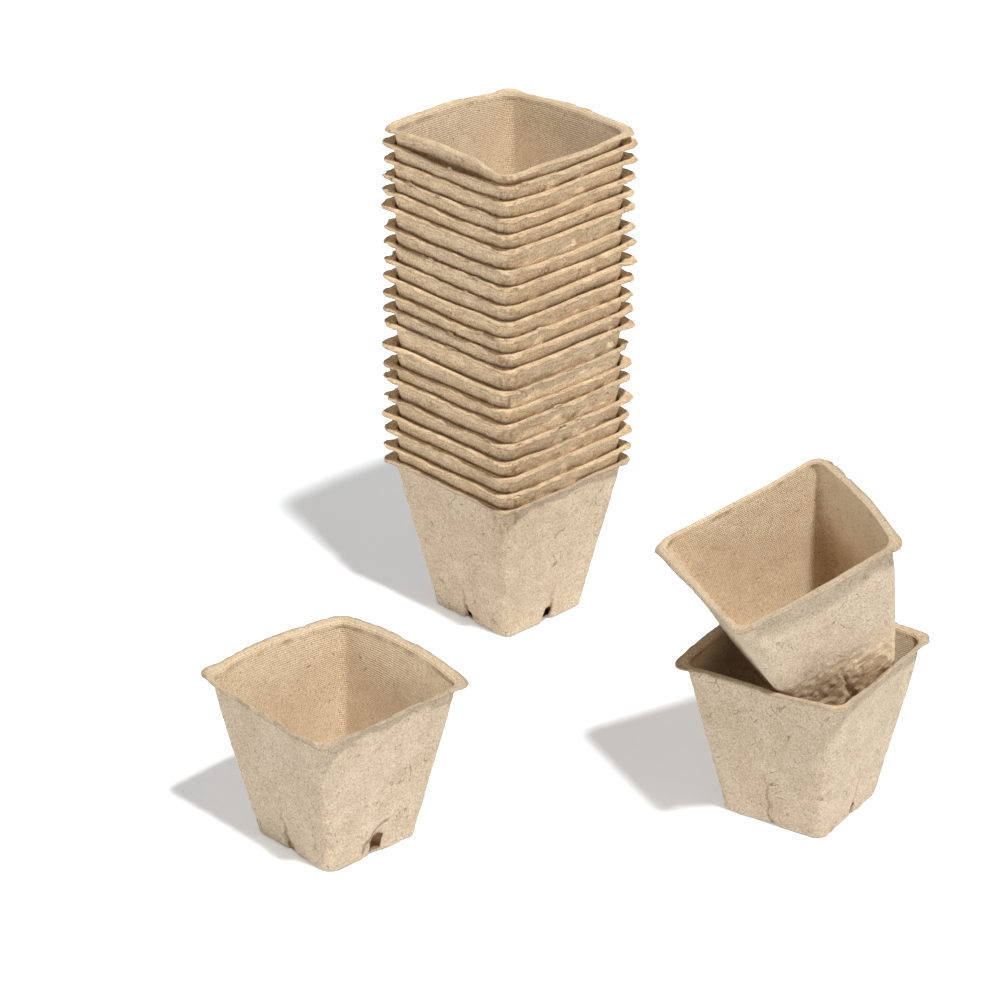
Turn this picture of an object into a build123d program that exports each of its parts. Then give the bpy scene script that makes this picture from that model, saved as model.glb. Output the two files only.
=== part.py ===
"""Set of square moulded-pulp plant pots: a nested stack, a single pot and a pair with one pot leaning.

Millimetres, +Z up. The origin is the centre of the bottom stack pot's foot, on the ground,
and X and Y run along the sides of the stack.
"""

from build123d import *

import os
from math import atan, cos, degrees, pi, sin, sqrt, tan

os.makedirs("parts", exist_ok=True)

# One pot, which every piece repeats
POT_HEIGHT = 71.5
RIM_WIDTH = 80.0
RIM_CORNER = 8.0
RIM_THICKNESS = 1.6
MOUTH_WIDTH = 74.2  # outside of the wall, carried up to the top of the rim
BASE_WIDTH = 48.2
CORNER = 6.0  # outside radius of the wall's four slanting corners
WALL = 1.0
FLOOR = 1.4
SIDES = 4

# The pleat pressed into the foot of each side, and the drain slot punched through it
PLEAT_HEIGHT = 16.0
PLEAT_WIDTH = 7.6
PLEAT_FLAT = 5.0
PLEAT_DEPTH = 1.7
SLOT_WIDTH = 4.6
SLOT_HEIGHT = 9.0
SLOT_BITE = 1.5  # how far the slot cuts into the floor behind the pleat

# The pots that stand free have a bevelled foot and round corners. Nested ones have three facets to a
# corner, laid against the same radius by two rounds of cuts, each a share of that radius
FOOT_BEVEL = 1.3
BEVEL_ANGLE = 45.0
FACET_CUTS = (1 - tan(pi / 8), tan(pi / 8) - tan(pi / 16))

# The nest: each pot seats in the one below, and stands a little proud of that seat, bottom pot first
NEST_CLEARANCE = 0.15
NEST_PROUD = (
    0.5, 2.0, 1.0, 2.0, 3.0, 0.0, 2.0, 4.0, 0.5, 0.5,
    2.0, 1.5, 1.5, 1.5, 2.5, 0.5, 0.0, 1.0, 0.5, 0.0,
)

# Where the other pots stand: X, Y and the turn about Z in degrees
SINGLE_PLACE = (-186.0, -90.5)
SINGLE_TURN = -1.8
PAIR_PLACE = (-32.0, -205.0)
PAIR_TURN = 12.5

# How the upper pot of the pair leans, seen from the lower pot
LEAN_SHIFT = (7.27, -4.51)
LEAN_TILT = 22.15
LEAN_TOWARDS = 160.08
LEAN_TURN = 166.49
LEAN_CLEARANCE = 0.15
DROP_RINGS = 160  # how finely its outside is tried against the lower pot
DROP_STEPS = 24

# Sizes that follow
TAPER = atan((MOUTH_WIDTH - BASE_WIDTH) / 2 / POT_HEIGHT)
WALL_ACROSS = WALL / cos(TAPER)  # the sloping wall's thickness, measured level
NEST_STEP = max(
    (WALL + NEST_CLEARANCE) / sin(TAPER),
    RIM_THICKNESS + NEST_CLEARANCE,
    FLOOR + NEST_CLEARANCE,
)
PLEAT_SKIN = WALL / cos(pi / SIDES)  # how far the pleat's inside stands behind its outside


def wall_width(height):
    """Outside width of the tapered wall at a height above the foot."""
    return BASE_WIDTH + 2 * height * tan(TAPER)


def tapered_block(bottom, width, angle, corner, fine):
    """Square block that widens from its bottom up to the mouth, with its slanting corners rounded."""
    with BuildPart() as block:
        with BuildSketch(Plane.XY.offset(bottom)):
            Rectangle(width, width)
        extrude(amount=POT_HEIGHT - bottom)
        draft(block.faces().filter_by(Axis.Z, reverse=True), Plane.XY.offset(bottom), -angle)
        if fine:
            fillet(block.edges().group_by(Axis.Z)[1], corner)
        else:
            for share in FACET_CUTS:
                chamfer(block.edges().group_by(Axis.Z)[1], corner * share)
    return block.part


def rim_plate(fine):
    """The flat rim, before the cavity is taken out of it."""
    with BuildPart() as rim:
        with BuildSketch(Plane.XY.offset(POT_HEIGHT - RIM_THICKNESS)) as outline:
            Rectangle(RIM_WIDTH, RIM_WIDTH)
            if fine:
                fillet(outline.vertices(), RIM_CORNER)
            else:
                for share in FACET_CUTS:
                    chamfer(outline.vertices(), RIM_CORNER * share)
        extrude(amount=RIM_THICKNESS)
    return rim.part


def pleat_wedge(inset):
    """The wedge between the mould's fin and the wall: a trapezium at the foot that runs out to a point."""
    face = BASE_WIDTH / 2 - inset
    slant = (PLEAT_WIDTH - PLEAT_FLAT) / 2 / PLEAT_DEPTH
    beyond = PLEAT_DEPTH  # the wedge stands this far outside the wall, so that it cuts right through
    with BuildPart() as wedge:
        with BuildSketch(Plane.XY) as foot:
            with BuildLine():
                Polyline(
                    (face - PLEAT_DEPTH, -PLEAT_FLAT / 2),
                    (face + beyond, -PLEAT_WIDTH / 2 - slant * beyond),
                    (face + beyond, PLEAT_WIDTH / 2 + slant * beyond),
                    (face - PLEAT_DEPTH, PLEAT_FLAT / 2),
                    close=True,
                )
            make_face()
        point = Vertex(face + PLEAT_HEIGHT * tan(TAPER), 0, PLEAT_HEIGHT)
        loft([foot.sketch, point], ruled=True)
    return wedge.part


def pot_cavity(fine):
    """The inside of a pot, with the four pleats standing into it."""
    boss = pleat_wedge(PLEAT_SKIN)
    inner_width = wall_width(FLOOR) - 2 * WALL_ACROSS
    with BuildPart() as cavity:
        add(tapered_block(FLOOR, inner_width, degrees(TAPER), CORNER - WALL, fine))
        with PolarLocations(0, SIDES):
            add(boss, mode=Mode.SUBTRACT)
    return cavity.part


def moulded_pot(fine):
    """One pot standing at the origin: tapered wall, flat rim, pleated foot and drain slots."""
    outside = tapered_block(0, BASE_WIDTH, degrees(TAPER), CORNER, fine)
    bevel = tapered_block(0, BASE_WIDTH - 2 * FOOT_BEVEL, BEVEL_ANGLE, CORNER, fine)
    rim = rim_plate(fine)
    pleat = pleat_wedge(0)
    cavity = pot_cavity(fine)
    slot_start = BASE_WIDTH / 2 - PLEAT_DEPTH - PLEAT_SKIN - SLOT_BITE
    slot_length = PLEAT_DEPTH + PLEAT_SKIN + SLOT_BITE + SLOT_HEIGHT * tan(TAPER)
    with BuildPart() as pot:
        add(outside)
        if fine:
            add(bevel, mode=Mode.INTERSECT)
        with PolarLocations(0, SIDES):
            add(pleat, mode=Mode.SUBTRACT)
        add(rim)
        add(cavity, mode=Mode.SUBTRACT)
        with PolarLocations(slot_start, SIDES):
            Box(
                slot_length,
                SLOT_WIDTH,
                SLOT_HEIGHT,
                align=(Align.MIN, Align.CENTER, Align.MIN),
                mode=Mode.SUBTRACT,
            )
    return pot.part


def outside_points():
    """Points round the outside of a free-standing pot, from its foot to its rim."""
    rings = []
    for step in range(DROP_RINGS + 1):
        height = POT_HEIGHT * step / DROP_RINGS
        rings.append((height, wall_width(height), CORNER))
    for height in (POT_HEIGHT - RIM_THICKNESS, POT_HEIGHT):
        rings.append((height, RIM_WIDTH, RIM_CORNER))
    for height, width, corner in rings:
        straight = width / 2 - corner
        quarter = []
        for step in range(DROP_STEPS):
            quarter.append(Vector(width / 2, straight * (2 * step / DROP_STEPS - 1), height))
            turn = pi / 2 * step / DROP_STEPS
            quarter.append(Vector(straight + corner * cos(turn), straight + corner * sin(turn), height))
        for side in range(SIDES):
            for point in quarter:
                yield point.rotate(Axis.Z, 360 / SIDES * side)


def leaning_seat(lean):
    """Height at which a pot turned by lean, let down into the lower pot, comes to its clearance."""
    inner_mouth = MOUTH_WIDTH / 2 - WALL_ACROSS - LEAN_CLEARANCE / cos(TAPER)
    inner_corner = CORNER - WALL
    seat = 0
    for point in outside_points():
        at = (lean * Location(point)).position
        near, far = sorted((abs(at.X), abs(at.Y)))
        if far > RIM_WIDTH / 2 + LEAN_CLEARANCE:
            continue
        reach = far  # half the width of the level square, round at its corners, that the point lies on
        if far - near < inner_corner:
            reach = inner_corner + (near + far - sqrt(2 * inner_corner**2 - (far - near) ** 2)) / 2
        wall_height = POT_HEIGHT - (inner_mouth - reach) / tan(TAPER)
        seat = max(seat, min(wall_height, POT_HEIGHT + LEAN_CLEARANCE) - at.Z)
    return seat


def write_piece(name, pot, place):
    """Set a pot on its place and write it as one piece."""
    with BuildPart(Plane(place)) as piece:
        add(pot)
    piece.part.label = name
    export_step(piece.part, f"parts/{name}.step")


standing_pot = moulded_pot(fine=True)
nested_pot = moulded_pot(fine=False)

# The stack, from the pot on the ground up
stack_height = 0
write_piece("stack_pot_01", standing_pot, Location((0, 0, stack_height)))
for number, proud in enumerate(NEST_PROUD, start=2):
    stack_height += NEST_STEP + proud
    write_piece(f"stack_pot_{number:02d}", nested_pot, Location((0, 0, stack_height)))
print("stack height", stack_height + POT_HEIGHT)

# The single pot, and the pair with its upper pot let down into the lower one
write_piece("single_pot", standing_pot, Location((*SINGLE_PLACE, 0), (0, 0, SINGLE_TURN)))
pair = Location((*PAIR_PLACE, 0), (0, 0, PAIR_TURN))
write_piece("pair_lower_pot", standing_pot, pair)
lean = Location((*LEAN_SHIFT, 0), (0, 0, LEAN_TOWARDS)) * Location((0, 0, 0), (0, LEAN_TILT, 0))
lean *= Location((0, 0, 0), (0, 0, LEAN_TURN))
seat = leaning_seat(lean)
write_piece("leaning_pot", standing_pot, pair * Location((0, 0, seat)) * lean)
print("leaning pot's seat", seat)
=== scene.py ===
"""Set of square moulded-pulp plant pots: a nested stack, a single pot and a pair with one pot leaning.

Each pot is one skin of pulp, made on a grid of rings: under the foot, up the outside, over the rim,
down the inside and across the floor. Lengths inside the pot functions are in millimetres.
"""

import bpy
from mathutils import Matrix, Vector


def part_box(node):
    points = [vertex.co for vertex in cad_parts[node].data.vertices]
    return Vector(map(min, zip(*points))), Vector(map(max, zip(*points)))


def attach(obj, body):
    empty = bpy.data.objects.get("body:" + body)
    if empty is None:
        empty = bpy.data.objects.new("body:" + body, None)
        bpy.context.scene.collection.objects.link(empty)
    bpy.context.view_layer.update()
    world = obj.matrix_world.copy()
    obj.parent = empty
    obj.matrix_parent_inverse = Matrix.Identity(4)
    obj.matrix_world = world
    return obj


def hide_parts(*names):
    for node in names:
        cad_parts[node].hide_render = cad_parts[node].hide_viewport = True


bl_info = {
    "name": "Moulded Pulp Pots",
    "version": (1, 0, 0),
    "blender": (4, 5, 0),
    "location": "View3D > Sidebar > Pulp Pots",
    "description": "Builds a set of square moulded-pulp plant pots around their solid model",
    "category": "Object",
}

from itertools import product
from math import cos, pi, radians, sin

import bpy
import numpy as np
from bpy.props import FloatProperty, FloatVectorProperty, PointerProperty
from mathutils import Matrix, Vector

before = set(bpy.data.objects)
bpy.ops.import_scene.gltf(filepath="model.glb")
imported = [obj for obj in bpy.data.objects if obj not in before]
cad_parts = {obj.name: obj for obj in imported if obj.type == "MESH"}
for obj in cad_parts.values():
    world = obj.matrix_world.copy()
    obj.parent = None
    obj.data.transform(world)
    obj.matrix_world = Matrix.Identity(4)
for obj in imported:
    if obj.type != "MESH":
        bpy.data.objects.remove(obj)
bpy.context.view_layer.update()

MM = 0.001
SIDES = 4
STACK_COUNT = 21
GROUND_POT = "stack_pot_01"
PULP_MATERIAL = "Moulded wood pulp"
PAINTED_BOUNCE_TINT = (1.3, 1.235, 1.12, 1.0)  # painted warm bounce light: what pulp in shade is multiplied by, in each colour
UP = np.array([0.0, 0.0, 1.0])

# Where the pots stand: the turn of each about Z, and the leaning pot's place in the lower one
SINGLE_TURN = radians(-1.8)
PAIR_TURN = radians(12.5)
LEAN_SHIFT = (0.00727, -0.00451)
LEAN_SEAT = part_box("leaning_pot")[1].z - 0.083789  # its rim's highest corner stands this far above its foot
LEAN_TOWARDS = radians(160.08)
LEAN_TILT = radians(22.15)
LEAN_TURN = radians(166.49)

# How finely a pot is divided: columns on a side and round a corner, rows up a wall and across a floor
FREE_GRID = {"side": 56, "corner": 12, "wall": 60, "band": 18, "floor": 9}
NESTED_GRID = {"side": 60, "corner": 10, "wall": 10, "band": 26, "floor": 4}
BAND = 16.0  # the top of a nested wall that shows, in millimetres

# How far each stack rim leans to the right of the picture, in millimetres, bottom pot first
RIM_LEAN = (
    -0.45, -0.45, 0.0, -0.8, 0.0, -0.6, -0.3, -1.1, 0.5, 0.5, -0.1,
    -0.2, 1.2, 0.8, 0.2, 0.1, -0.2, 0.3, 0.6, 0.5, 0.6,
)
LEAN_ALONG = Vector((0.717, -0.697, 0.0))

# How far each stack rim curls up, in millimetres, bottom pot first
RIM_LIFT = (
    1.3, 1.4, 1.2, 0.9, 0.7, 0.9, 1.2, 1.4, 1.6, 1.2, 1.4,
    0.9, 0.7, 1.1, 0.4, 1.3, 1.2, 1.9, 2.3, 2.4, 1.4,
)

# The stage, in metres and watts: white paper, a white room, a key light and two low softboxes
PAPER_REACH = 6.0
PAPER_GLOW = 0.33
ROOM_LIGHT = 0.2
ROOM_SEEN = 1.0
KEY_ENERGY = 3.4
KEY_ANGLE = radians(5)
KEY_DIRECTION = Vector((0.12, 0.48, -1.0))
SOFTBOXES = (("right_fill", (0.3, -2.4, 0.35), 8.6), ("left_fill", (-2.5, 0.3, 0.3), 14.2))
SOFTBOX_WIDTH = 1.2
SOFTBOX_HEIGHT = 0.5
SOFTBOX_AIM = Vector((-0.08, -0.1, 0.08))

# The camera at the photograph's viewing angle
CAMERA_PLACE = (-1.2461, -1.2766, 0.972)
CAMERA_HEADING = Vector((0.697, 0.717, 0.0))
CAMERA_PITCH = radians(27.29)
CAMERA_LENS = 164.2

# Kinds of shader node that are used often
ATTRIBUTE = "ShaderNodeAttribute"
MAP_RANGE = "ShaderNodeMapRange"
MATH = "ShaderNodeMath"
MIX = "ShaderNodeMix"
NOISE = "ShaderNodeTexNoise"
SEPARATE = "ShaderNodeSeparateXYZ"
VECTOR_MATH = "ShaderNodeVectorMath"

# Sockets of a colour mix: its two colours and its result
FIRST = 6
SECOND = 7
MIXED = 2


def srgb(code):
    """Linear colour of an sRGB hex code."""
    values = [int(code[place:place + 2], 16) / 255 for place in (1, 3, 5)]
    return [v / 12.92 if v <= 0.04045 else ((v + 0.055) / 1.055) ** 2.4 for v in values]


def length(name, description, default):
    return FloatProperty(
        name=name, description=description, default=default, subtype="DISTANCE", unit="LENGTH"
    )


def colour(name, description, code):
    return FloatVectorProperty(
        name=name, description=description, default=srgb(code), subtype="COLOR", size=3, min=0.0, max=1.0
    )


GROUND_LOW, GROUND_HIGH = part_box(GROUND_POT)


class PulpPotSizes(bpy.types.PropertyGroup):
    """Sizes of one moulded pot."""

    height: length("Height", "From the ground to the top of the rim", GROUND_HIGH.z - GROUND_LOW.z)
    rim_width: length("Rim width", "Across the rim, side to side", GROUND_HIGH.x - GROUND_LOW.x)
    rim_corner: length("Rim corner", "Radius of the rim's corners", 0.006)
    rim_thickness: length("Rim thickness", "Height of the rim's lip", 0.0016)
    mouth_width: length("Mouth width", "Outside of the wall, carried up to the top of the rim", 0.0742)
    base_width: length("Base width", "Outside of the wall, carried down to the ground", 0.0482)
    corner: length("Corner", "Outside radius of the slanting corners", 0.006)
    inner_corner: length("Inner corner", "Inside radius of the slanting corners", 0.0036)
    wall: length("Wall", "Thickness of the pulp wall", 0.001)
    floor: length("Floor", "Thickness of the pulp floor", 0.0014)
    foot_round: length("Foot rounding", "Radius of the edge round the foot", 0.0013)
    pleat_height: length("Pleat height", "Height of the pleat pressed into each side's foot", 0.016)
    pleat_width: length("Pleat width", "Width of the pleat at the ground", 0.0076)
    pleat_flat: length("Pleat flat", "Width of the pleat's flat back at the ground", 0.005)
    pleat_depth: length("Pleat depth", "Depth of the pleat at the ground", 0.0017)
    relief: length("Felt relief", "Depth of the lumps on the felt side", 0.00036)
    flare: length("Flare", "Radius of the curve from the wall out to the rim", 0.0023)
    rim_droop: length("Rim droop", "How far the rim's outer edge hangs below its crest", 0.0002)
    rim_wave: length("Rim wave", "How far the rim waves up and down", 0.0008)


class PulpPotColours(bpy.types.PropertyGroup):
    """Colours of the pulp and the stage."""

    pulp_pale: colour("Pale pulp", "Pale clumps of fibre", "#ebdac1")
    pulp_dark: colour("Dark pulp", "Dark clumps of fibre", "#c2a989")
    screen_pale: colour("Pale screen side", "Raised dots of the screen imprint", "#fae7c8")
    screen_dark: colour("Dark screen side", "Pits of the screen imprint", "#c7a983")
    # Multiplied over the rim's lip, which makes it a little darker
    rim_tint: colour("Rim tint", "What the pressing takes from the colour of the rim's lip", "#e1dcd6")
    fleck: colour("Flecks", "Bark and dark fibres in the pulp", "#8d6c47")
    # Torn fibres, and also painted shade in creases, at slot edges, round the slots inside, along the throat
    # step and over the crumpled foot
    torn_and_painted_shade: colour("Torn edge", "Torn fibres at a slot or crease", "#7a5a3a")
    # Painted shadow: a dark colour for the shade in the depth of a pot that another stands in
    deep: colour("Depth", "Damp pulp in the depth of a pot with another in it", "#2c190c")
    ground: colour("Ground", "Floor of the stage", "#f1f3f5")


def lattice_noise(points, size, seed):
    """Smooth noise from -1 to 1 with lumps of a size in millimetres."""
    place = points / size + seed * 7.31
    cell = np.floor(place).astype(np.int64)
    part = place - cell
    blend = part * part * part * (part * (part * 6 - 15) + 10)
    total = np.zeros(points.shape[:-1])
    for corner in product((0, 1), repeat=3):
        at = cell + np.array(corner)
        code = (at[..., 0] * 374761393 + at[..., 1] * 668265263 + at[..., 2] * 1274126177) & 0xFFFFFFFF
        code = ((code ^ (code >> 13)) * 1103515245 + seed * 12345) & 0xFFFFFFFF
        code = ((code ^ (code >> 16)) * 374761393) & 0xFFFFFFFF
        value = ((code ^ (code >> 15)) & 0xFFFF) / 32767.5 - 1
        share = np.where(np.array(corner) == 1, blend, 1 - blend).prod(axis=-1)
        total += value * share
    return total


def smooth(low, high, value):
    """0 below low, 1 above high and a soft step between."""
    part = np.clip((value - low) / (high - low), 0, 1)
    return part * part * (3 - 2 * part)


def level_direction(angle):
    """Unit vector at an angle round Z from +X."""
    return np.array([cos(angle), sin(angle), 0])


class PotProfile:
    """The rings of a pot, from the middle of the underside round to the middle of the floor."""

    def __init__(self, sizes, grid):
        self.mm = {name: getattr(sizes, name) / MM for name in sizes.__annotations__}
        mm = self.mm
        self.slope = (mm["mouth_width"] - mm["base_width"]) / 2 / mm["height"]
        self.wall_across = mm["wall"] * (1 + self.slope ** 2) ** 0.5
        self.rows = []
        self.underside(grid["floor"])
        self.first_outer = len(self.rows)
        bottom = mm["foot_round"] + 0.9
        top = mm["height"] - mm["rim_thickness"] - mm["flare"] - 0.5
        wall = np.linspace(bottom, top - BAND, grid["wall"], endpoint=False)
        heights = np.concatenate([wall, np.linspace(top - BAND, top, grid["band"])])
        for height in heights:
            self.add(self.outside(height), mm["corner"], height)
        self.last_outer = len(self.rows) - 1
        self.rim()
        self.last_inner = len(self.rows) + len(heights) - 1
        for height in heights[::-1]:
            self.add(self.inside(height), mm["inner_corner"], height, inside=1)
        self.floor(grid["floor"])
        self.table = np.array(self.rows)

    def add(self, width, corner, height, inside=0.0, rim=0.0):
        self.rows.append((width, corner, height, inside, rim))

    def outside(self, height):
        return self.mm["base_width"] / 2 + height * self.slope

    def inside(self, height):
        return self.outside(height) - self.wall_across

    def underside(self, count):
        radius = self.mm["foot_round"]
        edge = self.outside(radius) - radius
        for share in np.linspace(0.16, 0.97, count):
            self.add(edge * share, self.mm["corner"] * share * 0.9, 0.4 * (1 - share ** 2))
        for turn in np.radians([0, 25, 50, 75]):
            self.add(edge + radius * sin(turn), self.mm["corner"] * 0.95, radius * (1 - cos(turn)))

    def rim(self):
        mm = self.mm
        droop = mm["rim_droop"]
        flare = mm["flare"]
        under = mm["height"] - mm["rim_thickness"]
        base = self.outside(under - flare)
        for turn in np.radians([18, 36, 54, 72, 90]):
            self.add(base + flare * (1 - cos(turn)), mm["corner"], under - flare + flare * sin(turn), rim=0.3)
        edge = 0.7
        out = mm["rim_width"] / 2 - edge
        lower = (under + edge - droop, (-90, -40, 0))
        upper = (mm["height"] - edge - droop, (0, 40, 90))
        for level, turns in (lower, upper):
            for turn in np.radians(turns):
                self.add(out + edge * cos(turn), mm["rim_corner"], level + edge * sin(turn), rim=1)
        crest = 1.3
        for share in (0.35, 0.7, 1.0):
            level = mm["height"] - droop * (1 - share) ** 2
            self.add(out - crest * share, mm["rim_corner"] - 0.9 * share, level, 0.5 * share, 1 - 0.4 * share)
        lip = out - crest
        depth = 2.4
        throat = mm["height"] - depth
        for turn in np.radians([25, 50, 70, 90]):
            width = lip - (lip - self.inside(throat)) * sin(turn)
            self.add(width, mm["corner"] + 0.4 - 0.7 * turn, throat + depth * cos(turn), 1, 0.4 * cos(turn))
        self.add(self.inside(throat - 0.8) + 0.15, mm["inner_corner"] + 0.5, throat - 0.8, 1, 0)

    def floor(self, count):
        floor = self.mm["floor"]
        height = self.mm["foot_round"] + 0.9
        radius = height - floor
        edge = self.inside(height) - radius
        for turn in np.radians([35, 65, 90]):
            self.add(edge + radius * cos(turn), self.mm["corner"] - 1.5, height - radius * sin(turn), 1)
        for share in np.linspace(0.94, 0.16, count):
            self.add(edge * share, self.mm["corner"] * share * 0.8, floor + 0.4 * (1 - share ** 2), 1)


def pot_columns(grid):
    """Side number, place along the side from -1 to 1 and turn round the corner, for each column."""
    columns = []
    for side in range(SIDES):
        for step in range(grid["side"]):
            columns.append((side, 2 * step / grid["side"] - 1, 0.0))
        for step in range(grid["corner"]):
            columns.append((side, 1.0, pi / 2 * step / grid["corner"]))
    return np.array(columns)


def pleat_depth(mm, along, height, depth):
    """How far a pleat stands in from the wall, along a side and up it."""
    left = np.clip(1 - height / mm["pleat_height"], 0, 1)
    outer = np.maximum(mm["pleat_width"] / 2 * left, 1e-6)
    inner = mm["pleat_flat"] / 2 * left
    return mm["pleat_depth"] * depth * left * smooth(0, 1, (outer - np.abs(along)) / (outer - inner + 1e-6))


def crease_depth(along, height, crease):
    """A torn crease that wanders up a side from its foot and runs out."""
    wander = crease["at"] + crease["slant"] * height + 0.5 * np.sin(height * 0.7 + crease["at"])
    left = np.clip(1 - height / crease["height"], 0, 1) ** 0.6
    return crease["depth"] * left * np.exp(-((along - wander) / crease["width"]) ** 2)


def arch_depth(along, height, arch):
    """A crease that rises from the ground on one side of a slot and runs out over the other."""
    start, end, top = arch["start"], arch["end"], arch["top"]
    share = np.clip((along - start) / (end - start), 0, 1)
    root = np.sqrt(share)
    curve = top * np.sin(pi / 2 * root)
    steep = top * pi / 4 / abs(end - start) * np.cos(pi / 2 * root) / np.maximum(root, 0.1)
    away = (height - curve) / np.sqrt(1 + steep ** 2)
    line = (share > 0) * (1 - share ** 6) * np.exp(-(away / arch["width"]) ** 2)
    under = smooth(0.0, 2.2, -away) * (share > 0) * smooth(5.5, 3.2, along)
    return arch["depth"] * line, arch["recess"] * under


class PotSkin:
    """One pot's skin as rings of points, bent step by step from the plain profile, in millimetres."""

    # Sizes of the lumps of noise, in millimetres
    WAVE_LONG = 26.0
    WAVE_SHORT = 10.0
    RIM_GRAIN = 3.2
    WALL_BULGE = 30.0
    EDGE_GRAIN = 2.6
    EDGE_WAVE = 9.0
    EDGE_BITE = 4.6
    FELT_LARGE = 6.5
    FELT_MIDDLE = 2.9
    FELT_SMALL = 1.5
    CRUMPLE = 1.6
    SCREEN_SWELL = 4.5
    SPLIT = 1.3
    THROAT_TEAR = 5.0

    RIM_DIAGONAL = 53.0  # from the middle of the pot to a corner of its rim

    def __init__(self, sizes, grid, seed, looks):
        self.profile = PotProfile(sizes, grid)
        self.mm = self.profile.mm
        self.grid = grid
        self.seed = seed
        self.looks = looks
        width, self.corner, height, inside, rim = (self.profile.table[:, [n]] for n in range(5))
        columns = pot_columns(grid)
        self.side, self.along, self.turn = (columns[None, :, n] for n in range(3))
        self.straight = width - self.corner
        every_column = 0 * self.along
        self.width = width + every_column
        self.height = height + every_column
        self.inside = inside + every_column
        self.rim = rim + every_column
        self.felt_side = self.inside < 0.5
        self.screen_side = self.inside > 0.5
        self.torn_and_painted_shade = np.zeros_like(self.height)
        # Share of painted warm bounce light over the crumpled foot
        self.crumple_bounce_and_fibres = np.zeros_like(self.height)
        self.press_foot()
        self.bend_rim()
        self.raise_relief()
        self.tear_skin()

    def noise(self, points, size, draw):
        return lattice_noise(points, size, self.seed + draw)

    # Marks torn fibres, and paints shade where the torn colour stands for shade
    def add_torn_and_shade(self, share):
        self.torn_and_painted_shade = np.maximum(self.torn_and_painted_shade, share)

    def bow(self, number, power=2):
        """1 in the middle of a side, falling off to 0 at its corners."""
        return (self.side == number) * np.clip(1 - self.along ** power, 0, 1) * (self.turn == 0)

    def press_foot(self):
        """Pleats, creases, arches and slots on the plain tapered skin, side by side."""
        looks = self.looks
        height = self.height
        outward = self.straight + self.corner * np.cos(self.turn)
        sideways = self.along * self.straight + self.corner * np.sin(self.turn)
        away = np.abs(sideways)
        level = height.copy()
        near_foot = smooth(12, 20, self.width) * smooth(0, 1, 1 - self.turn / 0.3)
        for number in range(SIDES):
            here = (self.side == number) * near_foot
            outward = outward - here * pleat_depth(self.mm, sideways, height, looks["pleats"][number])
            crease = looks["creases"].get(number)
            if crease:
                # Torn fibres and painted shade along the crease
                cut = here * crease_depth(sideways, height, crease) * self.felt_side
                outward = outward - cut
                self.add_torn_and_shade(cut / crease["depth"])
            arch = looks["arches"].get(number)
            if arch:
                cut, under = arch_depth(sideways, height, arch)
                outward = outward - here * (cut * self.felt_side + under)
                # Torn fibres and painted shade along the crease over the slot
                self.add_torn_and_shade(here * cut / arch["depth"] * self.felt_side)

            # An open slot has a round crown and painted shade on the inside wall and floor round it, and the
            # foot is notched there
            is_open = looks["slot_half"][number] > 0
            crown = np.exp(-((height - looks["slot_height"][number]) / 2.2) ** 2) * (sideways / 3.2) ** 2
            crown = np.clip(crown, 0, 1) * smooth(6.0, 3.4, away) * (height < self.mm["pleat_height"])
            crown = crown * is_open
            self.add_torn_and_shade(here * is_open * smooth(8, 4, away) * smooth(12, 9, height) * self.screen_side)
            notch = looks["notches"][number] * smooth(4.4, 2.8, away) * smooth(3.2, 0.4, height)
            level = level + here * (notch - 1.6 * crown)
        angle = self.side * pi / 2
        across = outward * np.cos(angle) - sideways * np.sin(angle)
        deep = outward * np.sin(angle) + sideways * np.cos(angle)
        self.plain = np.stack([across, deep, level], axis=-1)
        self.flat = self.plain * np.array([1, 1, 0])
        self.points = self.plain.copy()

    def bend_rim(self):
        """The rim waves up and down, bows, sags where it was pressed and leans to one side."""
        mm = self.mm
        looks = self.looks
        plain = self.plain
        points = self.points
        half_rim = mm["rim_width"] / 2
        top = smooth(mm["height"] * 0.72, mm["height"] - 1, self.height)
        flange = smooth(mm["mouth_width"] / 2 - 0.5, half_rim, self.width)
        wave = self.noise(self.flat, self.WAVE_LONG, 0) * 0.75
        wave = wave + self.noise(self.flat, self.WAVE_SHORT, 1) * 0.4
        points[..., 2] += mm["rim_wave"] * looks["wave"] * top * (wave - looks["sink"])
        points[..., 2] += looks["lift"] * top
        for number, (outwards, up, start) in looks["corners"].items():
            facing = level_direction(pi / 4 + number * pi / 2)
            share = smooth(start, self.RIM_DIAGONAL, plain @ facing) * top
            points += share[..., None] * (facing * outwards + UP * up)
        points[..., 2] += 0.24 * looks["rough"] * self.noise(self.flat, self.RIM_GRAIN, 12) * flange
        for number, (outwards, up) in looks["bows"].items():
            facing = level_direction(number * pi / 2)
            points += (self.bow(number) * top)[..., None] * (facing * outwards + UP * up)
        for number, inwards in looks["pinches"].items():
            hollow = np.exp(-((self.height - 0.87 * mm["height"]) / 6.5) ** 2) * (1 - flange)
            hollow = hollow * self.bow(number)
            points -= hollow[..., None] * level_direction(number * pi / 2) * inwards
        for number, inwards in looks["trims"].items():
            edge = self.bow(number, power=4) * flange
            points -= edge[..., None] * level_direction(number * pi / 2) * inwards
        for number, (inwards, down, skew) in looks["pressed"].items():
            facing = level_direction(number * pi / 2)
            sideways = np.array([-facing[1], facing[0], 0])
            share = smooth(0.0, 1.0, (plain @ facing) / (mm["mouth_width"] / 2))
            share = share * (1 + skew * (plain @ sideways) / half_rim)
            share = share * smooth(mm["height"] * 0.2, mm["height"], self.height)
            points += share[..., None] * (facing * -inwards - UP * down)
        for number, depth in looks["droops"].items():
            facing = level_direction(number * pi / 2)
            points[..., 2] -= depth * (smooth(0.72, 0.98, (plain @ facing) / half_rim) * flange)
        for number, depth in looks["hangs"].items():
            hang = depth * self.bow(number) * smooth(12, 0, self.height) * smooth(12, 20, self.width)
            points[..., 2] -= hang

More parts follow.
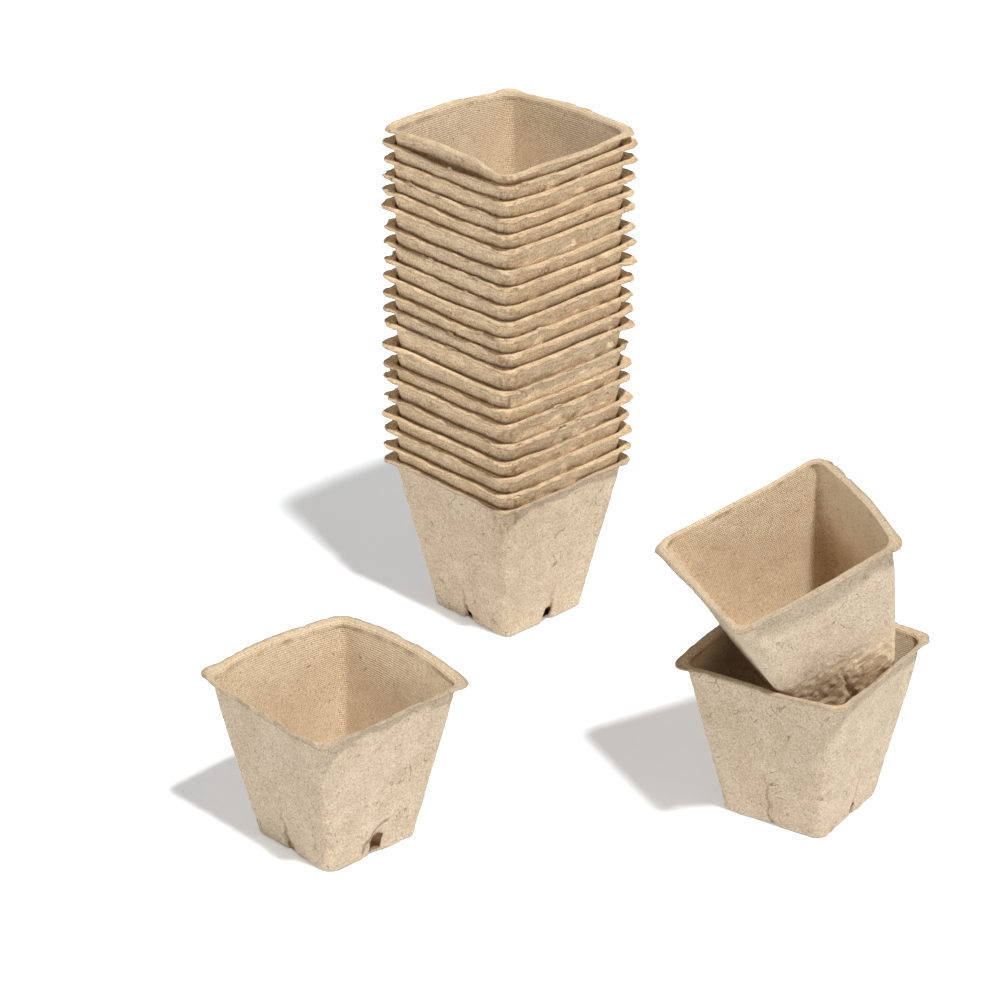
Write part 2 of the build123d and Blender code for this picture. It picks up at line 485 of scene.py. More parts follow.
        # The lip's edge is ragged, with bites out of it, and the wall under it bulges
        bulge = self.noise(self.flat + 40, self.WALL_BULGE, 2) * looks["bulge"] * top * (1 - flange)
        ragged = self.noise(plain, self.EDGE_GRAIN, 9) * 0.22
        ragged = ragged + self.noise(self.flat, self.EDGE_WAVE, 3) * 0.35
        ragged = ragged - 0.8 * smooth(0.35, 0.75, self.noise(self.flat, self.EDGE_BITE, 11))
        lip = ragged * looks["rough"] * flange + bulge
        radial = self.flat / np.maximum(np.linalg.norm(self.flat, axis=-1, keepdims=True), 1e-6)
        points += radial * lip[..., None]
        points += np.array(looks["lean"]) * (flange * top)[..., None]

    def raise_relief(self):
        """Relief along the skin's own normals: felt lumps outside, a fainter swell inside."""
        looks = self.looks
        around = np.roll(self.points, -1, axis=1) - np.roll(self.points, 1, axis=1)
        normal = np.cross(around, np.gradient(self.points, axis=0))
        normal /= np.maximum(np.linalg.norm(normal, axis=-1, keepdims=True), 1e-9)
        lumps = (
            self.noise(self.plain, self.FELT_LARGE, 4) * 0.35
            + self.noise(self.plain, self.FELT_MIDDLE, 5) * 0.4
            + self.noise(self.plain, self.FELT_SMALL, 6) * 0.35
        )
        foot = 1 + 0.8 * smooth(34, 4, self.height)
        felt = -self.mm["relief"] * looks["rough"] * foot * (0.55 + 0.75 * lumps) * (1 - 0.6 * self.rim)
        for number, (depth, reach) in looks["crumples"].items():
            share = (self.side == number) * smooth(reach, reach * 0.45, self.height)
            ripple = self.noise(self.plain * np.array([0.75, 0.75, 1.0]), self.CRUMPLE, 7)
            felt = felt - depth * share * (0.6 + 0.8 * ripple) * (1 - self.rim)
            # Painted warm bounce light over the crumpled foot
            self.crumple_bounce_and_fibres = np.maximum(self.crumple_bounce_and_fibres, share)
            # The torn colour in patches over the crumpled foot: painted shade
            self.add_torn_and_shade(share * (0.2 + 0.4 * smooth(-0.4, 0.5, ripple)) * self.felt_side)
        swell = looks["swell"] * self.noise(self.plain, self.SCREEN_SWELL, 8) * (1 - self.rim)
        self.points += normal * np.where(self.screen_side, swell, felt)[..., None]

    def tear_skin(self):
        """Splits down the front corner, and torn patches with painted shade along the throat step under the
        rim.
        """
        front = -(self.plain[..., 0] + self.plain[..., 1]) / 2 ** 0.5
        split = self.noise(self.plain * np.array([1.0, 1.0, 0.3]), self.SPLIT, 14) * 0.7
        split = smooth(0.2, 0.45, split) * smooth(43, 49, front)
        self.add_torn_and_shade(self.looks["splits"] * split * self.felt_side)
        # Torn patches and painted shade along the throat step under the rim
        throat = np.exp(-((self.height - self.mm["height"] + 2.6) / 0.7) ** 2) * (self.inside > 0.9)
        self.add_torn_and_shade(0.6 * throat * smooth(0.0, 0.6, self.noise(self.plain, self.THROAT_TEAR, 10)))

    def screen_place(self):
        """Place on the moulding screen, with the share of painted shadow in the depth inside and the share of
        painted warm bounce light outside.

        The place runs round the wall and turns back at each corner, so that it never jumps.
        """
        looks = self.looks
        level = self.plain[..., 2]
        unrolled = np.where(self.turn > pi / 4, pi / 2 - self.turn, self.turn) * self.corner
        unrolled = (unrolled + self.along * self.straight) * np.where(self.side % 2 == 0, 1, -1)
        on_floor = smooth(3.2, 2.2, self.height)[..., None]
        screen = np.stack([unrolled, level, 0 * level], axis=-1) * (1 - on_floor) + self.plain * on_floor
        # Inside: painted shadow on side 1 of a pot that another stands in, fading in from just under the rim
        # to full strength 15 mm down
        dim = looks["dim"] * smooth(self.mm["height"] - 1, self.mm["height"] - 15, self.height)
        dim = dim * (self.side == 1) * smooth(-1.0, -0.4, self.along)
        # Outside: the share of painted warm bounce light, which also brings drawn fibres
        screen[..., 2] = np.where(self.screen_side, dim, -np.clip(looks["warm"] + self.crumple_bounce_and_fibres, 0, 1))
        return screen

    def mesh(self, name):
        """The mesh in metres, with its pulp and screen places and its zones: inside, rim, and torn fibres
        with painted shade.
        """
        faces, lining = pot_faces(self.profile, self.grid, self.looks)
        zones = np.stack([self.inside, self.rim, self.torn_and_painted_shade], axis=-1).reshape(-1, 3)
        # The slots' cut edges take the torn colour: torn fibres and painted shade in the slot
        zones[np.unique(lining), 2] = 1
        mesh = bpy.data.meshes.new(name)
        mesh.from_pydata((self.points.reshape(-1, 3) * MM).tolist(), [], faces)
        pulp = self.plain + self.seed * 13.7
        for label, values in (("pulp", pulp), ("screen", self.screen_place()), ("zone", zones)):
            attribute = mesh.attributes.new(label, "FLOAT_VECTOR", "POINT")
            attribute.data.foreach_set("vector", values.reshape(-1).astype(np.float32))
        mesh.polygons.foreach_set("use_smooth", [True] * len(mesh.polygons))
        mesh.update()
        return mesh


def pot_faces(profile, grid, looks):
    """Quads between the rings with the slots left out and lined, and the corners of those linings."""
    count = len(profile.rows)
    per_side = grid["side"] + grid["corner"]
    around = per_side * SIDES
    heights = profile.table[:, 2]
    gone = set()
    faces = []
    edges = []
    for number in range(SIDES):
        half = looks["slot_half"][number]
        middle = number * per_side + grid["side"] // 2
        outer = [
            row for row in range(profile.first_outer, profile.last_outer)
            if heights[row + 1] <= looks["slot_height"][number]
        ]
        if not outer or not half:
            continue
        low, high = outer[0], outer[-1] + 1
        first, last = middle - half, middle + half
        mirror = profile.first_outer + profile.last_inner

        def out(row, column):
            return row * around + column

        def back(row, column):
            return (mirror - row) * around + column

        for row in range(low, high):
            for column in range(first, last):
                gone.add((row, column))
                gone.add((mirror - row - 1, column))
            faces.append((out(row + 1, first), out(row, first), back(row, first), back(row + 1, first)))
            faces.append((out(row, last), out(row + 1, last), back(row + 1, last), back(row, last)))
        for column in range(first, last):
            after = column + 1
            faces.append((out(low, column), out(low, after), back(low, after), back(low, column)))
            faces.append((out(high, after), out(high, column), back(high, column), back(high, after)))
        edges += [corner for face in faces[-2 * (high - low + last - first):] for corner in face]
    for row in range(count - 1):
        for column in range(around):
            if (row, column) in gone:
                continue
            after = (column + 1) % around
            below = row * around
            above = below + around
            faces.append((below + column, below + after, above + after, above + column))
    faces.append(tuple(range(around - 1, -1, -1)))
    faces.append(tuple(range((count - 1) * around, count * around)))
    return faces, np.array(edges, dtype=int)


def add_node(tree, kind, inputs=None, **settings):
    """Add a node with its settings. An input is a value, or an output socket to link from."""
    node = tree.nodes.new(kind)
    for name, value in settings.items():
        setattr(node, name, value)
    for name, value in (inputs or {}).items():
        if isinstance(value, bpy.types.NodeSocket):
            tree.links.new(value, node.inputs[name])
        else:
            node.inputs[name].default_value = value
    return node


def new_material(name):
    material = bpy.data.materials.new(name)
    material.use_nodes = True
    material.node_tree.nodes.clear()
    return material, material.node_tree


def linear(value):
    return (*value, 1.0)


def seen_by(tree, *rays):
    """1 for these kinds of ray and 0 for all others."""
    path = add_node(tree, "ShaderNodeLightPath").outputs
    seen = path[rays[0]]
    for ray in rays[1:]:
        seen = add_node(tree, MATH, {0: seen, 1: path[ray]}, operation="MAXIMUM").outputs[0]
    return seen


def lines_in_cells(tree, pulp, cell):
    """Distance from a line through each cell's middle, in its own direction, and the way from there."""
    cells = add_node(tree, "ShaderNodeTexVoronoi", {"Vector": pulp, "Scale": 1 / cell}).outputs
    reach = add_node(tree, VECTOR_MATH, {0: pulp, 1: cells["Position"]}, operation="SUBTRACT").outputs[0]
    way = add_node(tree, VECTOR_MATH, {0: cells["Color"], 1: (0.5,) * 3}, operation="SUBTRACT").outputs[0]
    way = add_node(tree, VECTOR_MATH, {0: way}, operation="NORMALIZE").outputs[0]
    near = add_node(tree, VECTOR_MATH, {0: reach, 1: way}, operation="CROSS_PRODUCT").outputs[0]
    near = add_node(tree, VECTOR_MATH, {0: near}, operation="LENGTH").outputs["Value"]
    return near, reach


def moulded_pulp(colours):
    """Moulded wood pulp, drawn by suction on to a wire screen and dried.

    The outside is felted: clouded, clumped and lumpy, with flecks of bark and torn creases darkened with
    painted shade. The inside keeps the screen's dots. The rim was pressed, so it is denser and smoother.
    """
    material, tree = new_material(PULP_MATERIAL)
    pulp = add_node(tree, ATTRIBUTE, attribute_name="pulp").outputs["Vector"]
    screen = add_node(tree, ATTRIBUTE, attribute_name="screen").outputs["Vector"]
    zone = add_node(tree, ATTRIBUTE, attribute_name="zone").outputs["Vector"]
    zones = add_node(tree, SEPARATE, {"Vector": zone}).outputs
    inside = zones["X"]
    rim = zones["Y"]
    torn_and_painted_shade = zones["Z"]

    # Share of painted warm bounce light outside, which also brings drawn fibres, and share of painted shadow
    # in the depth of a pot that another stands in
    depth = add_node(tree, SEPARATE, {"Vector": screen}).outputs["Z"]
    bounce_and_fibre_share = add_node(
        tree, MAP_RANGE, {"Value": depth, "From Min": -1.0, "From Max": 0.0, "To Min": 1.0, "To Max": 0.0}
    ).outputs[0]

    # Clouds of 9 mm, clumps of 0.9 mm and fibres of 0.4 mm
    clouds = add_node(tree, NOISE, {"Vector": pulp, "Scale": 1 / 9, "Detail": 2.0}).outputs[0]
    clumps = add_node(
        tree, NOISE, {"Vector": pulp, "Scale": 1 / 0.9, "Detail": 2.0, "Roughness": 0.6}
    ).outputs[0]
    fibres = add_node(
        tree, NOISE, {"Vector": pulp, "Scale": 1 / 0.4, "Detail": 2.0, "Distortion": 0.8}
    ).outputs[0]
    mottle = add_node(tree, MATH, {0: clouds, 1: 0.35, 2: clumps}, operation="MULTIPLY_ADD").outputs[0]
    mottle = add_node(tree, MATH, {0: mottle, 1: fibres}, operation="ADD").outputs[0]

    # Fibres drawn out along the rims, 5 mm long and 0.8 mm tall, which show where pots were pulled apart
    drawn = add_node(tree, VECTOR_MATH, {0: pulp, 1: (0.16, 0.16, 1.0)}, operation="MULTIPLY").outputs[0]
    drawn = add_node(tree, NOISE, {"Vector": drawn, "Scale": 1 / 0.8, "Detail": 2.0}).outputs[0]
    drawn = add_node(tree, MATH, {0: drawn, 1: 0.5}, operation="SUBTRACT").outputs[0]
    drawn = add_node(tree, MATH, {0: drawn, 1: bounce_and_fibre_share}, operation="MULTIPLY").outputs[0]
    mottle = add_node(tree, MATH, {0: mottle, 1: drawn}, operation="ADD").outputs[0]
    mottle = add_node(tree, MAP_RANGE, {"Value": mottle, "From Min": 0.96, "From Max": 1.4}).outputs[0]
    felt = add_node(
        tree,
        MIX,
        {0: mottle, FIRST: linear(colours.pulp_dark), SECOND: linear(colours.pulp_pale)},
        data_type="RGBA",
    ).outputs[MIXED]

    # The screen's wires crossed at 45 degrees, 1.15 mm apart
    per_mm = (2 * pi / 1.15,) * 3
    wires = add_node(
        tree, "ShaderNodeVectorRotate", {"Vector": screen, "Angle": pi / 4}, rotation_type="Z_AXIS"
    ).outputs[0]
    wires = add_node(tree, VECTOR_MATH, {0: wires, 1: per_mm}, operation="MULTIPLY").outputs[0]
    wires = add_node(tree, VECTOR_MATH, {0: wires}, operation="SINE").outputs[0]
    wires = add_node(tree, SEPARATE, {"Vector": wires}).outputs
    dots = add_node(tree, MATH, {0: wires["X"], 1: wires["Y"]}, operation="MULTIPLY").outputs[0]
    dots = add_node(tree, MAP_RANGE, {"Value": dots, "From Min": -1.0, "From Max": 1.0}).outputs[0]
    imprint = add_node(tree, MATH, {0: dots, 1: mottle}, operation="ADD").outputs[0]
    imprint = add_node(tree, MAP_RANGE, {"Value": imprint, "From Min": 0.2, "From Max": 1.8}).outputs[0]
    woven = add_node(
        tree,
        MIX,
        {0: imprint, FIRST: linear(colours.screen_dark), SECOND: linear(colours.screen_pale)},
        data_type="RGBA",
    ).outputs[MIXED]
    skin = add_node(tree, MIX, {0: inside, FIRST: felt, SECOND: woven}, data_type="RGBA").outputs[MIXED]

    # The rim's lip is multiplied by the rim tint, which makes it a little darker, and keeps the mottle
    skin = add_node(
        tree,
        MIX,
        {0: rim, FIRST: skin, SECOND: linear(colours.rim_tint)},
        data_type="RGBA",
        blend_type="MULTIPLY",
    ).outputs[MIXED]

    # Dark hairs of bark about 0.3 mm wide and up to 3 mm long: a line through the middle of some cells
    # 4 mm wide, each in its own direction, so that some lie along the skin and some show as a speck
    fleck = linear(colours.fleck)
    near, reach = lines_in_cells(tree, pulp, 4)
    far = add_node(tree, VECTOR_MATH, {0: reach}, operation="LENGTH").outputs["Value"]
    hair = add_node(
        tree, MAP_RANGE, {"Value": near, "From Min": 0.12, "From Max": 0.3, "To Min": 1.0, "To Max": 0.0}
    ).outputs[0]
    ends = add_node(
        tree, MAP_RANGE, {"Value": far, "From Min": 0.5, "From Max": 1.5, "To Min": 1.0, "To Max": 0.0}
    ).outputs[0]
    hair = add_node(tree, MATH, {0: hair, 1: ends}, operation="MULTIPLY").outputs[0]
    skin = add_node(tree, MIX, {0: hair, FIRST: skin, SECOND: fleck}, data_type="RGBA").outputs[MIXED]

    # Finer hairs of the same kind, in cells of 2.5 mm, hardly darker than the felt
    near = lines_in_cells(tree, pulp, 2.5)[0]
    fine = add_node(
        tree, MAP_RANGE, {"Value": near, "From Min": 0.05, "From Max": 0.22, "To Min": 0.55, "To Max": 0.0}
    ).outputs[0]
    skin = add_node(tree, MIX, {0: fine, FIRST: skin, SECOND: fleck}, data_type="RGBA").outputs[MIXED]

    # Hairline cracks 0.2 mm wide: short lengths of the contour lines of a noise of 11 mm
    wander = add_node(
        tree, NOISE, {"Vector": pulp, "Scale": 1 / 11, "Detail": 2.5, "Distortion": 0.5}
    ).outputs[0]
    wander = add_node(tree, MATH, {0: wander, 1: 0.5}, operation="SUBTRACT").outputs[0]
    wander = add_node(tree, MATH, {0: wander}, operation="ABSOLUTE").outputs[0]
    crack = add_node(
        tree,
        MAP_RANGE,
        {"Value": wander, "From Min": 0.003, "From Max": 0.011, "To Min": 1.0, "To Max": 0.0},
    ).outputs[0]
    lengths = add_node(tree, NOISE, {"Vector": pulp, "Scale": 1 / 6.5, "Detail": 1.0}).outputs[0]
    lengths = add_node(tree, MAP_RANGE, {"Value": lengths, "From Min": 0.55, "From Max": 0.63}).outputs[0]
    crack = add_node(tree, MATH, {0: crack, 1: lengths}, operation="MULTIPLY").outputs[0]
    outer = add_node(tree, MATH, {0: 1.0, 1: inside}, operation="SUBTRACT").outputs[0]
    crack = add_node(tree, MATH, {0: crack, 1: outer}, operation="MULTIPLY").outputs[0]
    crack = add_node(tree, MATH, {0: crack, 1: 0.55}, operation="MULTIPLY").outputs[0]
    # The torn colour: torn fibres, painted shade in creases, slot edges, the throat step and the crumpled
    # foot, and hairline cracks
    torn_shade_and_cracks = add_node(tree, MATH, {0: torn_and_painted_shade, 1: 0.8}, operation="MULTIPLY").outputs[0]
    torn_shade_and_cracks = add_node(tree, MATH, {0: torn_shade_and_cracks, 1: crack}, operation="MAXIMUM").outputs[0]
    skin = add_node(
        tree, MIX, {0: torn_shade_and_cracks, FIRST: skin, SECOND: linear(colours.torn_and_painted_shade)}, data_type="RGBA"
    ).outputs[MIXED]

    # Painted warm bounce light brightens and warms the pulp of the stack and of the crumpled foot. Painted
    # shadow darkens the depth of a pot that another stands in
    skin = add_node(
        tree, MIX, {0: bounce_and_fibre_share, FIRST: skin, SECOND: PAINTED_BOUNCE_TINT}, data_type="RGBA", blend_type="MULTIPLY"
    ).outputs[MIXED]
    skin = add_node(
        tree, MIX, {0: depth, FIRST: skin, SECOND: linear(colours.deep)}, data_type="RGBA"
    ).outputs[MIXED]

    # Height of the fibres and clumps outside, of the dots inside
    rough = add_node(tree, MATH, {0: clumps, 1: fibres}, operation="ADD").outputs[0]
    rough = add_node(tree, MATH, {0: rough, 1: drawn}, operation="ADD").outputs[0]
    tall = add_node(tree, MATH, {0: dots, 1: fibres}, operation="ADD").outputs[0]
    tall = add_node(tree, MATH, {0: tall, 1: 0.6}, operation="MULTIPLY").outputs[0]
    tall = add_node(tree, MIX, {0: inside, 2: rough, 3: tall}, data_type="FLOAT").outputs[0]
    tall = add_node(tree, MATH, {0: tall, 1: torn_shade_and_cracks}, operation="SUBTRACT").outputs[0]
    bump = add_node(
        tree, "ShaderNodeBump", {"Height": tall, "Strength": 0.9, "Distance": 0.5 * MM}
    ).outputs[0]
    shader = add_node(
        tree,
        "ShaderNodeBsdfPrincipled",
        {
            "Base Color": skin,
            "Normal": bump,
            "Roughness": 0.93,
            "IOR": 1.45,
            "Specular IOR Level": 0.25,
            "Sheen Weight": 0.12,
            "Sheen Roughness": 0.6,
        },
    )
    add_node(tree, "ShaderNodeOutputMaterial", {"Surface": shader.outputs[0]})
    return material


def place_pot(node, place, sizes, colours, grid, seed, looks):
    """Make one pot of pulp and let it stand for its solid."""
    name = "pulp_" + node
    mesh = PotSkin(sizes, grid, seed, looks).mesh(name)
    mesh.materials.append(bpy.data.materials.get(PULP_MATERIAL) or moulded_pulp(colours))
    pot = bpy.data.objects.new(name, mesh)
    bpy.context.scene.collection.objects.link(pot)
    pot.matrix_world = place
    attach(pot, node)
    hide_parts(node)


def pot_looks(**changes):
    """How one pot's moulding came out, in millimetres. Sides and corners count from +X round to +Y."""
    looks = {
        # The foot: how much of each pleat was pressed, each slot's height, how many columns either side of
        # its middle are open, and how far the foot's edge rises there
        "pleats": (1.0, 1.0, 1.0, 1.0),
        "slot_height": (9.5, 9.5, 9.5, 9.5),
        "slot_half": (4, 4, 4, 4),
        "notches": (1.0, 1.0, 1.0, 1.0),
        # Torn creases up a side, creases over a slot, crumpled feet with their depth and reach, and foot
        # edges that hang down
        "creases": {},
        "arches": {},
        "crumples": {},
        "hangs": {},
        # The rim: a side's middle moved out and up, the wall under it pinched in, its flange trimmed, a side
        # pressed in and down with a skew, the flange's edge let down, and a corner moved out and up from a
        # distance along its diagonal
        "bows": {},
        "pinches": {},
        "trims": {},
        "pressed": {},
        "droops": {},
        "corners": {},
        # The whole rim raised and moved over, and the share of the wave it has and is let down by
        "lift": 0.0,
        "lean": (0.0, 0.0, 0.0),
        "wave": 1.0,
        "sink": 0.0,
        # The skin: its felt's share, the wall's bulge and the screen side's swell
        "rough": 1.0,
        "bulge": 0.0,
        "swell": 0.05,
        # Colour, from 0 to 1: splits at the front corner, painted shadow in the depth under another pot, and
        # painted warm bounce light, which also brings drawn fibres
        "splits": 0.0,
        "dim": 0.0,
        "warm": 0.0,
    }
    looks.update(changes)
    return looks


def centre_of(node):
    """The middle of a node's box, on the ground."""
    low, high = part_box(node)
    return Vector(((low.x + high.x) / 2, (low.y + high.y) / 2, low.z))


class PULPPOTS_OT_stack(bpy.types.Operator):
    """Build the nested stack, from the pot on the ground up"""

    bl_idname = "pulp_pots.stack"
    bl_label = "Nested Stack"

    def execute(self, context):
        sizes = context.scene.pulp_pot_sizes
        colours = context.scene.pulp_pot_colours
        for number in range(1, STACK_COUNT + 1):
            node = f"stack_pot_{number:02d}"
            grid = NESTED_GRID
            looks = pot_looks(
                slot_half=(2, 2, 2, 2),
                lean=LEAN_ALONG * RIM_LEAN[number - 1],
                lift=RIM_LIFT[number - 1],
                corners={2: (0.0, 0.5 + 1.2 * number / STACK_COUNT, 30)},
                trims={2: 1.1, 3: 0.9},
                swell=0.02,
                wave=0.9,
                rough=1.6 + 0.6 * (number * 3 % 4) / 3,
                splits=0.7,
                # Painted warm bounce light on the stack's shaded walls, with its drawn fibres
                warm=0.8 + 0.2 * (number * 7 % 5) / 4,
            )
            if number == 1:
                grid = FREE_GRID
                looks["slot_half"] = (4, 4, 2, 3)
                looks["slot_height"] = (9.5, 9.5, 5.0, 7.5)
                looks["pleats"] = (1.0, 1.0, 0.5, 0.5)
                looks["notches"] = (0.8, 0.8, 0.2, 0.3)
                looks["rough"] = 1.1
                looks["trims"] = {2: 1.4, 3: 1.7}
                # Less painted warm bounce light on the pot on the ground
                looks["warm"] = 0.2
                looks["creases"] = {
                    2: {"at": -1.5, "slant": 0.0, "height": 17.0, "depth": 0.9, "width": 0.7},
                    3: {"at": 1.5, "slant": 0.02, "height": 20.0, "depth": 0.9, "width": 0.7},
                }
            if number == STACK_COUNT - 1:
                looks["bows"] = {2: (0.2, -0.3)}
            if number == STACK_COUNT:
                grid = FREE_GRID
                looks["slot_half"] = (4, 4, 4, 4)
                looks["bows"] = {2: (0.0, 3.6), 0: (-0.1, -0.2), 1: (0.1, 0.8)}
                looks["corners"] = {
                    0: (-0.8, -2.7, 30),
                    1: (-1.0, 0.7, 36),
                    2: (0.0, 1.7, 30),
                    3: (-1.2, 0.0, 36),
                }
                looks["trims"] = {2: 0.2, 3: 0.8}
                looks["pinches"] = {2: 3.0}
                looks["wave"] = 1.3
                looks["rough"] = 1.3
                looks["swell"] = 0.04
            place = Matrix.Translation(centre_of(node))
            place_pot(node, place, sizes, colours, grid, number, looks)
        return {"FINISHED"}


class PULPPOTS_OT_single(bpy.types.Operator):
    """Build the pot that stands by itself"""

    bl_idname = "pulp_pots.single"
    bl_label = "Single Pot"

    def execute(self, context):
        looks = pot_looks(
            slot_height=(9.5, 9.5, 5.0, 10.5),
            slot_half=(4, 4, 2, 4),
            pleats=(1.0, 1.0, 0.5, 0.2),
            notches=(0.8, 0.8, 0.0, 0.3),
            creases={2: {"at": -1.0, "slant": -0.05, "height": 22.0, "depth": 0.8, "width": 0.6}},
            arches={3: {"start": -7.0, "end": 7.0, "top": 15.5, "depth": 0.6, "width": 0.5, "recess": 0.5}},
            bows={0: (2.2, 1.6), 1: (1.8, 1.6), 2: (0.0, -1.6), 3: (0.0, -0.3)},
            corners={1: (-0.8, 2.6, 44)},
            trims={2: 1.6, 3: 1.7},
            wave=1.4,
            bulge=0.5,
            swell=0.12,
        )
        place = Matrix.Translation(centre_of("single_pot")) @ Matrix.Rotation(SINGLE_TURN, 4, "Z")
        scene = context.scene
        place_pot("single_pot", place, scene.pulp_pot_sizes, scene.pulp_pot_colours, FREE_GRID, 31, looks)
        return {"FINISHED"}


class PULPPOTS_OT_pair(bpy.types.Operator):
    """Build the pair: an upright pot and the pot that leans in it"""

    bl_idname = "pulp_pots.pair"
    bl_label = "Leaning Pair"

    def execute(self, context):
        scene = context.scene
        sizes = scene.pulp_pot_sizes
        colours = scene.pulp_pot_colours
        lower = Matrix.Translation(centre_of("pair_lower_pot")) @ Matrix.Rotation(PAIR_TURN, 4, "Z")
        looks = pot_looks(
            slot_height=(9.5, 9.5, 0.0, 7.0),
            slot_half=(4, 4, 0, 1),
            pleats=(1.0, 1.0, 0.1, 0.15),
            notches=(0.8, 0.8, 0.0, 0.1),
            creases={
                2: {"at": 0.5, "slant": -0.06, "height": 27.0, "depth": 1.2, "width": 0.45},
                3: {"at": 0.5, "slant": 0.0, "height": 20.0, "depth": 1.2, "width": 0.45},
            },
            bows={3: (0.0, 0.5)},
            corners={2: (0.0, 1.6, 30), 3: (-1.5, 0.4, 40)},
            trims={2: 1.0, 3: 1.7},
            sink=0.2,
            swell=0.06,
            # Painted shadow in the depth of this pot, where the leaning pot shades it
            dim=0.4,
        )
        place_pot("pair_lower_pot", lower, sizes, colours, FREE_GRID, 37, looks)
        lean = (
            Matrix.Translation((*LEAN_SHIFT, LEAN_SEAT))
            @ Matrix.Rotation(LEAN_TOWARDS, 4, "Z")
            @ Matrix.Rotation(LEAN_TILT, 4, "Y")
            @ Matrix.Rotation(LEAN_TURN, 4, "Z")
        )
        looks = pot_looks(
            slot_half=(4, 4, 4, 0),
            pleats=(1.0, 1.0, 1.0, 0.5),
            notches=(1.0, 1.0, 1.0, 0.0),
            creases={3: {"at": 0.5, "slant": -0.08, "height": 26.0, "depth": 1.0, "width": 0.6}},
            crumples={3: (0.45, 31.0), 2: (0.3, 28.0)},
            bows={0: (0.8, 0.0)},
            corners={1: (0.8, 0.3, 34), 2: (-1.5, 0.3, 34), 3: (-1.7, -0.3, 30)},
            pressed={1: (3.0, 1.0, -0.25)},
            droops={1: 3.2, 0: 1.4},
            hangs={3: 3.0},
            rough=0.8,
            bulge=0.4,
            swell=0.12,
        )
        place_pot("leaning_pot", lower @ lean, sizes, colours, FREE_GRID, 43, looks)
        return {"FINISHED"}


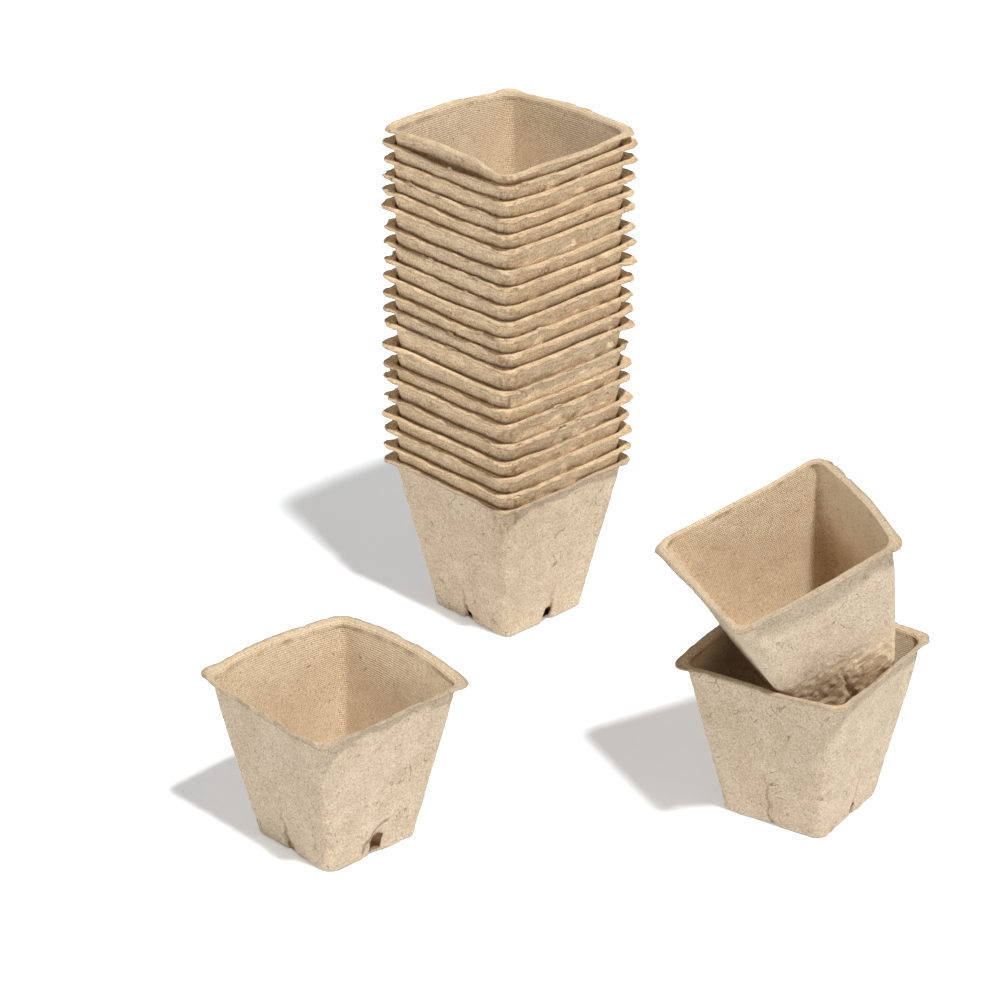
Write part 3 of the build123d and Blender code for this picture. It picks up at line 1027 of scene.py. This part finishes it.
class PULPPOTS_OT_stage(bpy.types.Operator):
    """Build the pale floor, the soft light and the camera"""

    bl_idname = "pulp_pots.stage"
    bl_label = "Stage"

    def execute(self, context):
        scene = context.scene
        self.ground(scene)
        self.light(scene)
        self.camera(scene)
        scene.view_settings.view_transform = "Standard"
        return {"FINISHED"}

    def ground(self, scene):
        """Matt paper floor: white to the eye, with the pots' shadows left on it."""
        material, tree = new_material("Matt white paper")
        seen = seen_by(tree, "Is Camera Ray", "Is Glossy Ray", "Is Transmission Ray")
        lift = add_node(tree, MATH, {0: seen, 1: PAPER_GLOW}, operation="MULTIPLY").outputs[0]
        paper = add_node(tree, "ShaderNodeBsdfDiffuse", {"Color": linear(scene.pulp_pot_colours.ground)})
        glow = add_node(tree, "ShaderNodeEmission", {"Strength": lift})
        both = add_node(tree, "ShaderNodeAddShader", {0: paper.outputs[0], 1: glow.outputs[0]})
        add_node(tree, "ShaderNodeOutputMaterial", {"Surface": both.outputs[0]})
        mesh = bpy.data.meshes.new("paper_floor")
        far = PAPER_REACH
        mesh.from_pydata([(-far, -far, 0), (far, -far, 0), (far, far, 0), (-far, far, 0)], [], [(0, 1, 2, 3)])
        mesh.materials.append(material)
        floor = bpy.data.objects.new("paper_floor", mesh)
        scene.collection.objects.link(floor)

    def light(self, scene):
        """A soft key light from above on the camera's right, two low softboxes and a faint white room."""
        world = bpy.data.worlds.new("Studio")
        world.use_nodes = True
        tree = world.node_tree
        tree.nodes.clear()
        seen = seen_by(tree, "Is Camera Ray", "Is Glossy Ray")
        strength = add_node(
            tree, MAP_RANGE, {"Value": seen, "To Min": ROOM_LIGHT, "To Max": ROOM_SEEN}
        ).outputs[0]
        sky = add_node(tree, "ShaderNodeBackground", {"Color": (1.0, 1.0, 1.0, 1.0), "Strength": strength})
        add_node(tree, "ShaderNodeOutputWorld", {"Surface": sky.outputs[0]})
        scene.world = world
        sun = bpy.data.lights.new("key", "SUN")
        sun.energy = KEY_ENERGY
        sun.angle = KEY_ANGLE
        key = bpy.data.objects.new("key", sun)
        key.rotation_euler = KEY_DIRECTION.to_track_quat("-Z", "Y").to_euler()
        scene.collection.objects.link(key)
        for name, at, power in SOFTBOXES:
            self.softbox(scene, name, Vector(at), power)

    def softbox(self, scene, name, at, power):
        """A large low softbox that lights the walls and hardly the insides."""
        data = bpy.data.lights.new(name, "AREA")
        data.shape = "RECTANGLE"
        data.size = SOFTBOX_WIDTH
        data.size_y = SOFTBOX_HEIGHT
        data.energy = power
        lamp = bpy.data.objects.new(name, data)
        lamp.location = at
        lamp.rotation_euler = (SOFTBOX_AIM - at).to_track_quat("-Z", "Y").to_euler()
        scene.collection.objects.link(lamp)

    def camera(self, scene):
        """The photograph's camera, fitted to the rims and feet of the pots."""
        data = bpy.data.cameras.new("camera")
        data.sensor_fit = "HORIZONTAL"
        data.sensor_width = 36.0
        data.lens = CAMERA_LENS
        data.clip_end = 50.0
        camera = bpy.data.objects.new("camera", data)
        camera.location = CAMERA_PLACE
        aim = CAMERA_HEADING.normalized() * cos(CAMERA_PITCH) + Vector((0, 0, -sin(CAMERA_PITCH)))
        camera.rotation_euler = aim.to_track_quat("-Z", "Y").to_euler()
        scene.collection.objects.link(camera)
        scene.camera = camera


class PULPPOTS_PT_panel(bpy.types.Panel):
    bl_label = "Pulp Pots"
    bl_idname = "PULPPOTS_PT_panel"
    bl_space_type = "VIEW_3D"
    bl_region_type = "UI"
    bl_category = "Pulp Pots"

    def draw(self, context):
        layout = self.layout
        for group in (context.scene.pulp_pot_sizes, context.scene.pulp_pot_colours):
            box = layout.box()
            for name in group.__annotations__:
                box.prop(group, name)
        for operator in OPERATORS:
            layout.operator(operator.bl_idname)


OPERATORS = (PULPPOTS_OT_stack, PULPPOTS_OT_single, PULPPOTS_OT_pair, PULPPOTS_OT_stage)
CLASSES = (PulpPotSizes, PulpPotColours, *OPERATORS, PULPPOTS_PT_panel)


def register():
    for item in CLASSES:
        bpy.utils.register_class(item)
    bpy.types.Scene.pulp_pot_sizes = PointerProperty(type=PulpPotSizes)
    bpy.types.Scene.pulp_pot_colours = PointerProperty(type=PulpPotColours)


def unregister():
    del bpy.types.Scene.pulp_pot_colours
    del bpy.types.Scene.pulp_pot_sizes
    for item in reversed(CLASSES):
        bpy.utils.unregister_class(item)


def main():
    register()
    bpy.ops.pulp_pots.stack()
    bpy.ops.pulp_pots.single()
    bpy.ops.pulp_pots.pair()
    bpy.ops.pulp_pots.stage()


if __name__ == "__main__":
    main()
